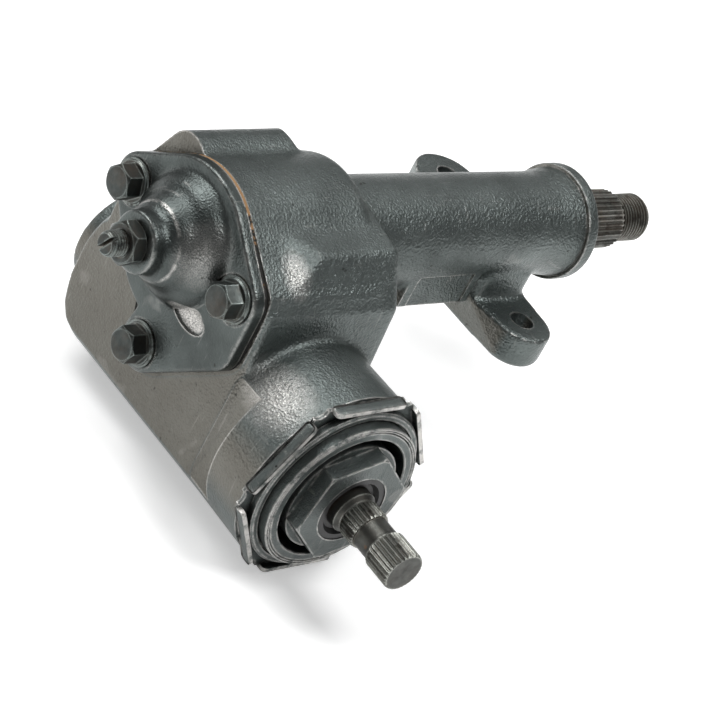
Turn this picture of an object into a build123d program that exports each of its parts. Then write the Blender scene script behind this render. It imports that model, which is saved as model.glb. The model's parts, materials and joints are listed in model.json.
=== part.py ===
from build123d import *
import os
from math import pi, sin, cos, tan, acos, radians, degrees, ceil

# Manual steering gearbox with a recirculating ball nut, in millimetres.
# The pieces are modelled about the gear centre: X runs along the output shaft towards its splined
# end, the worm runs along Y with its input end at -Y, and Z is up. At the end everything moves
# together, so that the origin lies on the frame mounting face under the output shaft.

# Gearing
centre_distance = 55.0
sector_pitch_r = 32.0
tooth_module = 4.4
pressure_angle = radians(25)
addendum = 4.0
tooth_tip_gap = 0.6
backlash = 0.2
sector_half_teeth = 1
sector_width = 27.0
sector_hub_r = 19.0
steering_ratio = 20.0
swing = 38.0

# Ball nut and worm
ball_d = 6.35
ball_circle_r = 12.0
groove_gap = 0.07
land_drop = 0.4
nut_length = 54.0
nut_r = 19.0
rack_width = 26.0
circuit_turns = 1.5
balls_per_circuit = 2
guide_r = 3.95
guide_wall = 0.55
guide_drop = 24.0
guide_bend_r = 5.0
clamp_wall = 0.9
clamp_screw_r = 2.0
clamp_head_r = 3.2

# Worm bearings
worm_journal_r = 10.5
bearing_width = 11.0
roller_tilt = 14.0
roller_circle_r = 15.4
roller_r = 2.3
roller_length = 7.5
rollers_per_bearing = 10
cup_r = 20.6
shoulder_gap = 0.3

# Input end of the worm shaft, as distances from the gear centre
input_land_1 = 115.4
input_groove = 125.2
input_bevel = 133.0
input_land_2 = 135.7
input_end = 149.9
input_spline_r = 9.5
input_spline_depth = 0.85
input_spline_teeth = 30
input_groove_r = 8.3
end_chamfer = 1.1

# Output shaft, as distances from the gear centre
cover_journal_r = 14.0
journal_r = 15.875
shaft_cover_end = 56.0
journal_end = 183.0
serration_start = 187.5
serration_end = 216.3
serration_r = 14.2875
serration_end_r = 13.6
serration_depth = 1.0
serration_places = 36
thread_r = 11.11
thread_end = 238.0
slot_neck = 12.0
slot_width = 15.8
slot_floor = 45.8

# Running and seating clearances
running_gap = 0.05
seat_gap = 0.02
flat_gap = 0.1

# Housing
case_left = 35.0
case_right = 39.0
barrel_r = 44.5
neck_r = 46.0
neck_rear = 62.0
barrel_front = 93.0
barrel_rear = 62.0
barrel_round = 18.0
rear_boss_r = 27.0
rear_wall = 5.0
flat_front = 56.0
facet_left = 22.5
ridge_y, ridge_z = -37.3, 16.7
wall_foot_y, wall_foot_z = -56.5, -16.0
edge_r = 4.0
pad_end = 33.0
chamber_r = 23.2
chamber_rear_gap = 0.5
chamber_front = 64.0
neck_bore_r = 33.8
sector_chamber_half = 17.0
opening_r = 31.0
opening_low_r = 37.0
opening_low_angle = 50.0
sector_chamber_r = 37.5

# Tube and frame ears
tube_root_r = 25.0
tube_end_r = 23.2
tube_end = 184.6
tube_flange_r = 26.6
tube_flange_length = 6.8
bush_wall = 2.6
bush_length = 32.0
inner_bush_start = 42.0
outer_bush_end = 170.0
bush_relief = 0.7
seal_r = 20.4
seal_length = 8.0
ear_thickness = 17.0
mount_drop = 42.0
mount_x = 164.0
front_ear_x, front_ear_y = 145.0, -38.2
rear_ear_x, rear_ear_y = 183.0, 66.5
front_ear_r = 14.8
rear_ear_r = 16.6
ear_hole_r = 5.65
web_half = 21.0
web_bottom = 27.0

# Side cover, gasket and bolts
cover_disc_r = 38.3
cover_disc_z = -3.5
lug_r = 12.7
bolt_y = 38.8
low_bolt_y, low_bolt_z = -3.7, -53.0
corner_z = -22.0
gasket_thickness = 1.4
cover_thickness = 5.6
boss_r = 13.56
boss_face = 69.0
bolt_r = 4.76
bolt_length = 17.0
bolt_head_flats = 14.29
bolt_head_height = 9.7
bolt_flange_r = 10.3
bolt_flange = 1.8
bolt_turns = (20.0, 5.0, 12.0)
hole_gap = 0.35
thread_gap = 0.04
adjuster_r = 5.55
adjuster_tip = 84.1
adjuster_head_r = 7.5
adjuster_head = 3.0
shim_thickness = 1.0
adjuster_slot = 1.7
adjuster_slot_depth = 3.2
jam_nut_flats = 17.46
jam_nut_height = 7.0

# Adjuster plug, lock ring, tab plate and worm seal, as distances from the gear centre
plug_thread_r = 33.7
plug_rim = 99.0
plug_face = 111.5
plug_hub_r = 27.4
plug_flats = 47.6
plug_flat_depth = 8.0
plug_turn = 18.0
recess_r = 31.3
recess_floor = 85.0
nose_r = 22.8
plate_thickness = 2.0
plate_flats = 88.0
tab_length = 38.0
tab_reach = 8.0
ring_end = 104.0
ring_r = 38.5
ring_step_r = 41.5
ring_step = 4.5
worm_seal_r = 16.7
worm_seal_depth = 6.5

dedendum = addendum + tooth_tip_gap
tooth_pitch = pi * tooth_module
sector_root_r = sector_pitch_r - dedendum
sector_tip_r = sector_pitch_r + addendum
rack_line = centre_distance - sector_pitch_r
lead = 2 * pi * sector_pitch_r / steering_ratio
travel = sector_pitch_r * radians(swing)
ball_r = ball_d / 2
groove_r = ball_r + groove_gap
worm_land_r = ball_circle_r - land_drop
nut_groove_half = (circuit_turns + 0.25) * lead
worm_groove_half = nut_groove_half + ceil(travel / lead) * lead
worm_body_half = worm_groove_half + groove_r
chamber_rear = worm_body_half + chamber_rear_gap
bearing_end = worm_body_half + bearing_width
rear_boss_end = bearing_end + 1 + rear_wall
worm_frame = Plane(origin=(0, 0, -centre_distance), x_dir=(1, 0, 0), z_dir=(0, -1, 0))
shaft_frame = Plane(origin=(0, 0, 0), x_dir=(0, 1, 0), z_dir=(1, 0, 0))
cover_bolts_at = ((bolt_y, 0.0), (-bolt_y, 0.0), (low_bolt_y, low_bolt_z))
cover_seat = case_left + gasket_thickness
cover_face = cover_seat + cover_thickness


def section(x):
    """A plane across the output shaft: its own x is Y and its own y is Z."""
    return Plane(origin=(x, 0, 0), x_dir=(0, 1, 0), z_dir=(1, 0, 0))


def turned(*points):
    """A solid turned about Z from its (radius, height) outline."""
    outline = Plane.XZ * Polyline(*points, close=True)
    return revolve(make_face(outline.edges()), Axis.Z)


def ring(outer, inner, low, high):
    return turned((inner, low), (outer, low), (outer, high), (inner, high))


def rod(radius, low, high):
    return Pos(0, 0, low) * Cylinder(radius, high - low, align=(Align.CENTER, Align.CENTER, Align.MIN))


def hexagon_bar(flats, low, high, turn=0.0):
    bar = extrude(RegularPolygon(flats / 2, 6, major_radius=False), high - low)
    return Pos(0, 0, low) * Rot(0, 0, turn) * bar


def hull(*circles):
    """The convex outline round circles given as (x, y, radius)."""
    return make_hull([(Pos(x, y) * Circle(r)).edge() for x, y, r in circles])


def flange_outline():
    disc = (0, cover_disc_z, cover_disc_r)
    lugs = [(y, z, lug_r) for y, z in cover_bolts_at]
    corner = (-bolt_y, corner_z, lug_r)
    top = hull(disc, lugs[0], lugs[1], corner)
    low = hull(lugs[1], lugs[2], corner, (0, cover_disc_z, 0.7 * cover_disc_r))
    return top + low


def opening_outline():
    """The hole that the toothed sector goes in through."""
    reach = 2 * opening_low_r
    angle = radians(opening_low_angle)
    wedge = Polygon((0, 0), (-reach * sin(angle), -reach * cos(angle)),
                    (reach * sin(angle), -reach * cos(angle)), align=None)
    return Circle(opening_r) + (Circle(opening_low_r) & wedge)


def chamber_outline():
    """The worm chamber's section: its own y is up from the worm's axis."""
    rack_side = Pos(0, 15) * Rectangle(rack_width + 4, 30)
    guide_side = Pos(0, -15.5) * Rectangle(37, 31)
    return Circle(chamber_r) + rack_side + fillet(guide_side.vertices(), 5)


def helix_groove(half_length):
    """The round ball groove along a helix, centred on the gear centre."""
    path = Pos(0, 0, -half_length) * Helix(pitch=lead, height=2 * half_length, radius=ball_circle_r)
    return sweep(Plane(origin=path @ 0, z_dir=path % 0) * Circle(groove_r), path=path, is_frenet=True)


def sector_tooth():
    """One tooth pointing down from the output shaft, with involute flanks."""
    base_r = sector_pitch_r * cos(pressure_angle)
    half = (tooth_pitch / 2 - backlash / 2) / 2 / sector_pitch_r
    start = half + tan(pressure_angle) - pressure_angle

    def flank(radius, side):
        roll = acos(min(1, base_r / radius))
        angle = start - (tan(roll) - roll)
        return (side * radius * sin(angle), -radius * cos(angle))

    radii = [base_r + (sector_tip_r - base_r) * k / 3 for k in range(4)]
    right = [flank(r, 1) for r in radii]
    left = [flank(r, -1) for r in radii]
    foot = 0.9 * sector_root_r
    foot_x = foot * sin(start)
    foot_y = -foot * cos(start)
    outline = (Spline(*right) + Line(right[-1], left[-1]) + Spline(*left) + Line(left[0], (-foot_x, foot_y))
               + Line((-foot_x, foot_y), (foot_x, foot_y)) + Line((foot_x, foot_y), right[0]))
    return make_face(outline.edges())


def sector_outline():
    step = tooth_pitch / sector_pitch_r
    reach = 2 * sector_root_r
    spread = (sector_half_teeth + 0.85) * step
    wedge = Polygon((0, 0), (-reach * sin(spread), -reach * cos(spread)),
                    (reach * sin(spread), -reach * cos(spread)), align=None)
    outline = Circle(sector_hub_r) + (Circle(sector_root_r) & wedge)
    for k in range(-sector_half_teeth, sector_half_teeth + 1):
        outline += Rot(0, 0, k * degrees(step)) * sector_tooth()
    return outline


def serrations(radius, depth, places, masters=0):
    """A toothed outline; with masters, that many grooves are left out to give wide ridges."""
    points = []
    skip = places // masters if masters else places + 1
    for k in range(places):
        angle = 2 * pi * (k - 0.5) / places
        points.append((radius * cos(angle), radius * sin(angle)))
        if k % skip or not masters:
            angle = 2 * pi * k / places
            points.append(((radius - depth) * cos(angle), (radius - depth) * sin(angle)))
    return Polygon(*points, align=None)


def make_pitman_shaft():
    half = sector_width / 2
    shaft = turned((0, -shaft_cover_end), (cover_journal_r - 1, -shaft_cover_end),
                   (cover_journal_r, 1 - shaft_cover_end), (cover_journal_r, -half), (journal_r, -half),
                   (journal_r, journal_end), (serration_r - serration_depth, serration_start - 2),
                   (serration_r - serration_depth, serration_start), (thread_r - 1, serration_end),
                   (thread_r - 1, serration_end + 2), (thread_r, serration_end + 3),
                   (thread_r, thread_end - end_chamfer), (thread_r - end_chamfer, thread_end), (0, thread_end))
    shaft += extrude(Pos(0, 0, -half) * sector_outline(), sector_width)
    large = Pos(0, 0, serration_start) * serrations(serration_r, serration_depth, serration_places, 4)
    small = Pos(0, 0, serration_end) * serrations(serration_end_r, serration_depth, serration_places, 4)
    shaft += loft([large, small], ruled=True)
    neck = Pos(0, 0, -shaft_cover_end) * Box(slot_neck, 3 * cover_journal_r, 2 * (shaft_cover_end - slot_floor))
    depth = adjuster_head + shim_thickness + 2 * flat_gap
    pocket = Pos(0, 0, -slot_floor - depth / 2) * Box(slot_width, 3 * cover_journal_r, depth)
    return shaft_frame * (shaft - neck - pocket)


def make_lash_adjuster_screw():
    head_low = -slot_floor - flat_gap - shim_thickness - adjuster_head
    screw = turned((0, 1 - adjuster_tip), (adjuster_r - 1.6, -adjuster_tip), (adjuster_r - 0.6, 1.4 - adjuster_tip),
                   (adjuster_r, 2.6 - adjuster_tip), (adjuster_r, head_low), (adjuster_head_r, head_low),
                   (adjuster_head_r, head_low + adjuster_head), (0, head_low + adjuster_head))
    slot = Pos(0, 0, -adjuster_tip) * Rot(0, 0, 30) * Box(adjuster_slot, 3 * adjuster_r, 2 * adjuster_slot_depth)
    return shaft_frame * (screw - slot)


def make_adjuster_shim():
    low = -slot_floor - flat_gap - shim_thickness
    return shaft_frame * ring(adjuster_head_r, 2.5, low + flat_gap / 2, low + shim_thickness)


def make_jam_nut():
    low = -boss_face - jam_nut_height
    nut = hexagon_bar(jam_nut_flats, low, -boss_face, 10)
    nut &= turned((0, low), (jam_nut_flats / 2 - 0.3, low), (jam_nut_flats / 2 + 1.6, low + 1.2),
                  (jam_nut_flats / 2 + 1.6, -boss_face), (0, -boss_face))
    return shaft_frame * (nut - rod(adjuster_r + thread_gap, low - 1, 1 - boss_face))


def make_cover_bolts():
    bolts = []
    for (y, z), turn in zip(cover_bolts_at, bolt_turns):
        head_end = -cover_face - bolt_flange - bolt_head_height
        head = hexagon_bar(bolt_head_flats, head_end, -cover_face - bolt_flange, turn)
        head &= turned((0, head_end), (bolt_head_flats / 2 - 0.4, head_end), (bolt_head_flats / 2 + 1.4, head_end + 1.3),
                       (bolt_head_flats / 2 + 1.4, -cover_face), (0, -cover_face))
        flange = turned((0, -cover_face), (bolt_flange_r, -cover_face), (bolt_flange_r, -cover_face - 1),
                        (bolt_head_flats / 2, -cover_face - bolt_flange - 0.6), (0, -cover_face - bolt_flange - 0.6))
        shank = rod(bolt_r, -cover_face - 1, bolt_length - cover_face)
        bolts.append(shaft_frame * (Pos(y, z, 0) * (head + flange + shank)))
    return Compound(bolts)


def make_cover_gasket():
    sheet = extrude(section(-cover_seat) * (flange_outline() - opening_outline()), gasket_thickness)
    for y, z in cover_bolts_at:
        sheet -= shaft_frame * Pos(y, z, 0) * rod(bolt_r + hole_gap, -cover_seat - 1, 1 - case_left)
    return sheet


def make_side_cover():
    flange = extrude(section(-cover_face) * flange_outline(), cover_thickness)
    bush_r = cover_journal_r + running_gap + bush_wall
    wall_face = shaft_cover_end + 2.5
    dome = turned((0, -cover_seat), (boss_r + 19.5, -cover_seat), (boss_r + 19.5, -cover_face),
                  (boss_r + 17.5, -cover_face - 2.5), (boss_r + 15, -cover_face - 7), (boss_r + 11.5, -cover_face - 8.5),
                  (boss_r + 9.5, -cover_face - 10.5), (boss_r + 8.5, -cover_face - 14.5),
                  (boss_r + 5.5, -cover_face - 17.5), (boss_r + 2, -cover_face - 18.5), (boss_r, -cover_face - 20),
                  (boss_r, 1 - boss_face), (boss_r - 1, -boss_face), (0, -boss_face))
    hollow = turned((bush_r + 3, -cover_seat), (boss_r + 14, -cover_seat), (boss_r + 12, -cover_face - 1),
                    (boss_r + 8, -cover_face - 4.5), (bush_r + 3, -cover_face - 4.5))
    cover = shaft_frame * (dome - hollow)
    cover += flange
    cover -= shaft_frame * rod(bush_r + seat_gap, -wall_face, 1 - cover_seat)
    cover -= shaft_frame * rod(adjuster_r + thread_gap, -boss_face - 1, 1 - wall_face)
    cover -= shaft_frame * (ring(boss_r + 14, bush_r + 3, -cover_seat - 4, 1 - cover_seat))
    for y, z in cover_bolts_at:
        cover -= shaft_frame * Pos(y, z, 0) * rod(bolt_r + hole_gap, -cover_face - 30, 1 - cover_seat)
        cover -= shaft_frame * Pos(y, z, 0) * rod(bolt_flange_r + 0.7, -cover_face - 30, -cover_face)
    return cover


def make_bush(radius, low, high):
    return shaft_frame * ring(radius + running_gap + bush_wall, radius + running_gap, low, high)


def make_housing():
    flange = flange_outline()
    case = extrude(section(-case_left) * flange, case_left + case_right)
    side = hull((bolt_y, 0, lug_r), (-bolt_y, 0, lug_r), (-43, -69, 12), (36, -67, 14))
    case += extrude(section(-case_left) * side, case_left)
    wide = hull((0, cover_disc_z, cover_disc_r), (ridge_y, ridge_z, edge_r), (wall_foot_y, wall_foot_z, edge_r),
                (wall_foot_y, -55, edge_r), (44, -55, edge_r + 2), (bolt_y, 0, lug_r))
    front = extrude(section(-facet_left) * wide, facet_left + case_right)
    facet = Plane(origin=(-20, -24.3, 23.8), z_dir=(-0.478, -0.454, 0.752))
    front -= facet * Pos(0, 0, 20) * Box(80, 80, 40)
    case += front
    pad = hull((30, 29.5, 3.8), (36, 26, 5), (bolt_y - 1, -1, lug_r - 2), (25, 10, 8))
    pad = extrude(section(-case_left) * pad, case_left + pad_end)
    slope = Plane(origin=(pad_end, 0, 24), z_dir=(1, 0, 1.2))
    case += pad - slope * Pos(0, 0, 30) * Box(120, 120, 60)
    barrel = rod(barrel_r, -barrel_rear, barrel_front)
    barrel = fillet(barrel.edges().sort_by(Axis.Z)[0], barrel_round)
    barrel = worm_frame * barrel
    barrel -= Pos(-case_left - 20, 60 - flat_front, -centre_distance) * Box(40, 120, 120)
    neck = turned((0, neck_rear - 6), (barrel_r - 3, neck_rear - 6), (neck_r, neck_rear + 3), (neck_r, barrel_front),
                  (0, barrel_front))
    boss = turned((0, -barrel_rear + 2), (rear_boss_r, -barrel_rear + 2), (rear_boss_r, 1.5 - rear_boss_end),
                  (rear_boss_r - 1.5, -rear_boss_end), (0, -rear_boss_end))
    case += barrel
    case += worm_frame * neck
    case += worm_frame * boss
    tube = turned((0, 0), (tube_root_r, 0), (tube_root_r, case_right + 5), (tube_end_r, tube_end - tube_flange_length),
                  (tube_flange_r - 1.5, tube_end - tube_flange_length), (tube_flange_r, tube_end - tube_flange_length + 3),
                  (tube_flange_r - 1.5, tube_end), (0, tube_end))
    case += shaft_frame * tube
    web = Pos((case_right + 118) / 2 - 2, 0, -web_bottom / 2 - 3) * Box(118 - case_right + 4, 2 * web_half, web_bottom - 6)
    case += web
    case += make_saddle()
    return cut_housing(case)


def make_saddle():
    plate = hull((128, -13, 8), (159, -13, 8), (130, 16, 10), (186, 16, 12))
    plate += hull((front_ear_x, front_ear_y, front_ear_r), (133.5, -14, 8), (158, -14, 8))
    plate += hull((rear_ear_x, rear_ear_y, rear_ear_r), (130, 16, 10), (186, 16, 12))
    plate = extrude(Pos(0, 0, -mount_drop) * plate, ear_thickness)
    block = hull((126, -13, 8), (159, -13, 8), (126, 11, 8), (165, 11, 8))
    return plate + extrude(Pos(0, 0, -mount_drop) * block, mount_drop - 12)


def cut_housing(case):
    half = sector_chamber_half
    case -= extrude(section(-case_left) * opening_outline(), case_left + half)
    lower = Circle(sector_chamber_r) & Pos(0, 6 - sector_chamber_r) * Rectangle(3 * sector_chamber_r, 2 * sector_chamber_r)
    case -= extrude(section(0.5 - half) * lower, 2 * half - 0.5)
    chamber = extrude(Pos(0, 0, -chamber_rear) * chamber_outline(), chamber_rear + chamber_front + 0.5)
    case -= worm_frame * chamber
    case -= worm_frame * rod(neck_bore_r, chamber_front, barrel_front + 1)
    case -= worm_frame * rod(cup_r + seat_gap, -bearing_end - 1, 1 - chamber_rear)
    bush_r = journal_r + running_gap + bush_wall
    case -= shaft_frame * rod(bush_r + seat_gap, half - 1, tube_end + 1)
    case -= shaft_frame * rod(bush_r + bush_relief, inner_bush_start + bush_length, outer_bush_end - bush_length)
    case -= shaft_frame * rod(seal_r + seat_gap, tube_end - seal_length - 1, tube_end + 1)
    for y, z in cover_bolts_at:
        case -= shaft_frame * Pos(y, z, 0) * rod(bolt_r + thread_gap, -case_left - 1, bolt_length - cover_face + 0.6)
    for x, y in ((front_ear_x, front_ear_y), (rear_ear_x, rear_ear_y)):
        case -= Pos(x, y, -mount_drop) * Cylinder(ear_hole_r, 3 * ear_thickness)
    return case


def make_pitman_seal():
    low = tube_end - seal_length
    inner = journal_r + running_gap
    return shaft_frame * turned((inner, low), (seal_r, low), (seal_r, tube_end - 0.6), (inner + 2.4, tube_end - 0.6),
                                (inner + 1.6, tube_end - 2.2), (inner, tube_end - 2.2))


def worm_profile():
    return turned((0, 1 - bearing_end), (worm_journal_r, 1 - bearing_end),
                  (worm_journal_r, -worm_body_half), (worm_land_r, -worm_body_half), (worm_land_r, worm_body_half),
                  (worm_journal_r, worm_body_half), (worm_journal_r, input_land_1 - 2.2),
                  (input_spline_r - input_spline_depth, input_land_1),
                  (input_spline_r - input_spline_depth, input_groove), (input_groove_r, input_groove),
                  (input_groove_r, input_bevel), (input_spline_r - input_spline_depth, input_land_2),
                  (input_spline_r - input_spline_depth, input_end), (0, input_end))


def make_worm_shaft():
    shaft = worm_profile()
    for low, high in ((input_land_1, input_groove), (input_land_2 - 1.2, input_end)):
        land = serrations(input_spline_r, input_spline_depth, input_spline_teeth)
        land = extrude(Pos(0, 0, low) * land, high - low)
        land &= turned((0, low), (input_groove_r, low), (input_spline_r, low + end_chamfer),
                       (input_spline_r, high - end_chamfer), (input_spline_r - 0.5 * end_chamfer, high), (0, high))
        shaft += land
    shaft -= helix_groove(worm_groove_half)
    return worm_frame * shaft


def circuit_start(k):
    """Height at which circuit k of the nut leaves the +X side of the worm."""
    gap = lead / 2
    return gap / 2 if k else -gap / 2 - circuit_turns * lead


def make_ball_nut():
    body = hull((0, 0, nut_r), (nut_r - 6, -nut_r + 4, 4), (6 - nut_r, -nut_r + 4, 4))
    top = Pos(0, (rack_line + addendum) / 2) * Rectangle(rack_width, rack_line + addendum)
    nut = extrude(Pos(0, 0, -nut_length / 2) * (body + top), nut_length)
    nut -= rod(ball_circle_r + land_drop, -nut_length, nut_length)
    width = (tooth_pitch / 2 + backlash / 2) / 2
    deep = width - dedendum * tan(pressure_angle)
    wide = width + 2 * addendum * tan(pressure_angle)
    for k in range(-sector_half_teeth, sector_half_teeth + 1):
        at = k * tooth_pitch
        space = Polygon((rack_line - dedendum, at - deep), (rack_line - dedendum, at + deep),
                        (rack_line + 2 * addendum, at + wide), (rack_line + 2 * addendum, at - wide), align=None)
        nut -= extrude(Plane.YZ * space, nut_r, both=True)
    nut -= helix_groove(nut_groove_half)
    for k in (0, 1):
        for x, z in guide_ends(k):
            nut -= Pos(x, -nut_r, z) * Rot(90, 0, 0) * Cylinder(guide_r + running_gap, 2 * nut_r - 14)
    nut -= Pos(0, -nut_r, 0) * Rot(90, 0, 0) * Cylinder(clamp_screw_r + thread_gap, 9)
    return worm_frame * nut


def guide_ends(k):
    start = circuit_start(k)
    return (ball_circle_r, start), (-ball_circle_r, start + circuit_turns * lead)


def make_ball_guides():
    guides = []
    for k in (0, 1):
        (x1, z1), (x2, z2) = guide_ends(k)
        path = FilletPolyline((x1, -9.5, z1), (x1, -guide_drop, z1), (x2, -guide_drop, z2), (x2, -9.5, z2),
                              radius=guide_bend_r)
        start = Plane(origin=path @ 0, z_dir=path % 0)
        tube = sweep(start * Circle(guide_r), path=path)
        guides.append(worm_frame * (tube - sweep(start * Circle(guide_r - guide_wall), path=path)))
    return Compound(guides)


def make_nut_balls():
    balls = []
    for k in (0, 1):
        for i in range(balls_per_circuit):
            turn = circuit_turns * (i + 1) / (balls_per_circuit + 1)
            angle = 2 * pi * turn
            at = Pos(ball_circle_r * cos(angle), ball_circle_r * sin(angle), circuit_start(k) + turn * lead)
            balls.append(worm_frame * (at * Sphere(ball_r)))
    return Compound(balls)


def make_guide_clamp():
    """A strap with a saddle over each guide, held by one screw between them."""
    run = 2 * ball_circle_r
    rise = circuit_turns * lead
    slant = Plane(origin=(0, 0, 0), x_dir=(0, 1, 0), z_dir=(-run, 0, rise))
    inner = guide_r + flat_gap
    outer = inner + clamp_wall
    clamp = Pos(0, -nut_r - clamp_wall / 2, 0) * Box(8, clamp_wall, 8)
    for k in (0, 1):
        middle = circuit_start(k) + rise / 2
        sketch = Circle(outer) - Circle(inner) - Pos(outer, 0) * Rectangle(2 * outer, 4 * outer)
        drop = guide_drop - nut_r - flat_gap
        leg = Pos(drop / 2, outer - clamp_wall / 2) * Rectangle(drop, clamp_wall)
        sketch += leg + Pos(drop / 2, clamp_wall / 2 - outer) * Rectangle(drop, clamp_wall)
        strap = extrude(slant * sketch, 3.5, both=True)
        clamp += Pos(0, -guide_drop, middle) * strap
    clamp -= Pos(0, -nut_r, 0) * Rot(90, 0, 0) * Cylinder(clamp_screw_r + hole_gap, 10)
    return worm_frame * clamp


def make_clamp_screw():
    head = Cylinder(clamp_head_r, 2.6, align=(Align.CENTER, Align.CENTER, Align.MIN))
    head -= Pos(0, 0, 2.6) * Box(1, 10, 2)
    screw = Pos(0, 0, clamp_wall) * head + rod(clamp_screw_r, -4, clamp_wall + 0.5)
    return worm_frame * Pos(0, -nut_r, 0) * Rot(90, 0, 0) * screw


def bearing_cone(angle_shift, z):
    """Radius at height z of a cone that shares the rollers' apex."""
    tilt = radians(roller_tilt)
    apex = bearing_width / 2 + roller_circle_r / tan(tilt)
    return (apex - z) * tan(tilt + angle_shift)


def roller_half_angle():
    return roller_r * sin(radians(roller_tilt)) / roller_circle_r


def make_bearing():
    """Cone, cup, rollers and cage with their wide end at height 0."""
    w = bearing_width
    half = roller_half_angle()
    cone = turned((worm_journal_r + seat_gap, 0), (bearing_cone(-half, 0), 0), (bearing_cone(-half, w), w),
                  (worm_journal_r + seat_gap, w))
    cup = turned((bearing_cone(half, 1.5), 1.5), (cup_r, 1.5), (cup_r, w), (bearing_cone(half, w), w))
    rollers = []
    band = roller_length / 2
    for k in range(rollers_per_bearing):
        at = Rot(0, 0, 360 * k / rollers_per_bearing) * Pos(roller_circle_r, 0, w / 2) * Rot(0, -roller_tilt, 0)
        grow = band * tan(half)
        r = roller_r - running_gap
        rollers.append(at * Cone(r + grow, r - grow, roller_length))
    low, high = w / 2 - band - 1, w / 2 + band + 1
    cage = turned((bearing_cone(0, low) - 0.6, low), (bearing_cone(0, low) + 0.6, low),
                  (bearing_cone(0, high) + 0.6, high), (bearing_cone(0, high) - 0.6, high))
    room = band * tan(half)
    window = Cone(roller_r + running_gap + room, roller_r + running_gap - room, roller_length + 0.4)
    for k in range(rollers_per_bearing):
        at = Rot(0, 0, 360 * k / rollers_per_bearing) * Pos(roller_circle_r, 0, w / 2) * Rot(0, -roller_tilt, 0)
        cage -= at * window
    return cone, cup, Compound(rollers), cage


def make_adjuster_plug():
    cup_low = worm_body_half + 1.5
    seat = bearing_end
    bore = worm_journal_r + 1
    plug = turned((cup_r + seat_gap, cup_low), (nose_r, cup_low), (nose_r, chamber_front + shoulder_gap),
                  (plug_thread_r, chamber_front + shoulder_gap), (plug_thread_r, plug_rim), (recess_r, plug_rim),
                  (recess_r, recess_floor), (plug_hub_r, recess_floor), (plug_hub_r, plug_face - 0.8),
                  (plug_hub_r - 1.2, plug_face), (worm_seal_r + seat_gap, plug_face),
                  (worm_seal_r + seat_gap, plug_face - worm_seal_depth), (bore, plug_face - worm_seal_depth),
                  (bore, seat), (cup_r + seat_gap, seat))
    flats = rod(plug_hub_r + 2, plug_face - plug_flat_depth, plug_face + 1)
    flats -= hexagon_bar(plug_flats, plug_face - plug_flat_depth, plug_face + 1, plug_turn)
    return worm_frame * (plug - flats)


def make_lock_ring():
    low = barrel_front + plate_thickness
    inner = plug_thread_r + thread_gap
    return worm_frame * turned((inner, low), (ring_step_r, low), (ring_step_r, low + ring_step - 1),
                               (ring_step_r - 1, low + ring_step), (ring_r, low + ring_step), (ring_r, ring_end - 1.2),
                               (ring_r - 1.2, ring_end), (inner + 0.8, ring_end), (inner, ring_end - 0.8))


def make_tab_plate():
    plate = hexagon_bar(plate_flats - 2 * plate_thickness, barrel_front, barrel_front + plate_thickness)
    for k in range(6):
        tab = Pos(0, (plate_flats - plate_thickness) / 2, barrel_front + tab_reach / 2)
        plate += Rot(0, 0, 60 * k) * tab * Box(tab_length, plate_thickness, tab_reach)
    plate -= rod(plug_thread_r + hole_gap, barrel_front - 1, barrel_front + tab_reach)
    return worm_frame * plate


def make_worm_seal():
    inner = worm_journal_r + running_gap
    low = plug_face - worm_seal_depth
    return worm_frame * turned((inner, low), (worm_seal_r, low), (worm_seal_r, plug_face - 0.4),
                               (inner + 3.4, plug_face - 0.4), (inner + 2, plug_face - 2.6), (inner, plug_face - 2.6))


def make_parts():
    cone, cup, rollers, cage = make_bearing()
    upper = worm_frame * Pos(0, 0, worm_body_half)
    lower = worm_frame * Rot(180, 0, 0) * Pos(0, 0, worm_body_half)
    tube_bush_end = outer_bush_end - bush_length
    return {
        "housing": make_housing(),
        "side_cover": make_side_cover(),
        "cover_gasket": make_cover_gasket(),
        "cover_bolts": make_cover_bolts(),
        "lash_adjuster_screw": make_lash_adjuster_screw(),
        "adjuster_jam_nut": make_jam_nut(),
        "adjuster_shim": make_adjuster_shim(),
        "pitman_shaft": make_pitman_shaft(),
        "cover_bush": make_bush(cover_journal_r, -shaft_cover_end - 1, -cover_seat - 1),
        "inner_tube_bush": make_bush(journal_r, inner_bush_start, inner_bush_start + bush_length),
        "outer_tube_bush": make_bush(journal_r, tube_bush_end, outer_bush_end),
        "pitman_seal": make_pitman_seal(),
        "worm_shaft": make_worm_shaft(),
        "ball_nut": make_ball_nut(),
        "nut_balls": make_nut_balls(),
        "ball_guides": make_ball_guides(),
        "guide_clamp": make_guide_clamp(),
        "clamp_screw": make_clamp_screw(),
        "upper_bearing_cone": upper * cone,
        "upper_bearing_cup": upper * cup,
        "upper_bearing_rollers": upper * rollers,
        "upper_bearing_cage": upper * cage,
        "lower_bearing_cone": lower * cone,
        "lower_bearing_cup": lower * cup,
        "lower_bearing_rollers": lower * rollers,
        "lower_bearing_cage": lower * cage,
        "adjuster_plug": make_adjuster_plug(),
        "plug_lock_ring": make_lock_ring(),
        "tab_plate": make_tab_plate(),
        "worm_seal": make_worm_seal(),
    }


def main():
    os.makedirs("parts", exist_ok=True)
    place = Pos(-mount_x, 0, mount_drop)
    for node, shape in make_parts().items():
        export_step(place * shape, f"parts/{node}.step")


main()
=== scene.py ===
"""Looks for a manual steering gearbox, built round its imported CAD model."""

import json
from math import cos, pi, radians, sin

import bpy
from bpy.props import FloatProperty, FloatVectorProperty, IntProperty, PointerProperty
from bpy.types import Operator, Panel, PropertyGroup
from mathutils import Matrix, Vector

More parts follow.
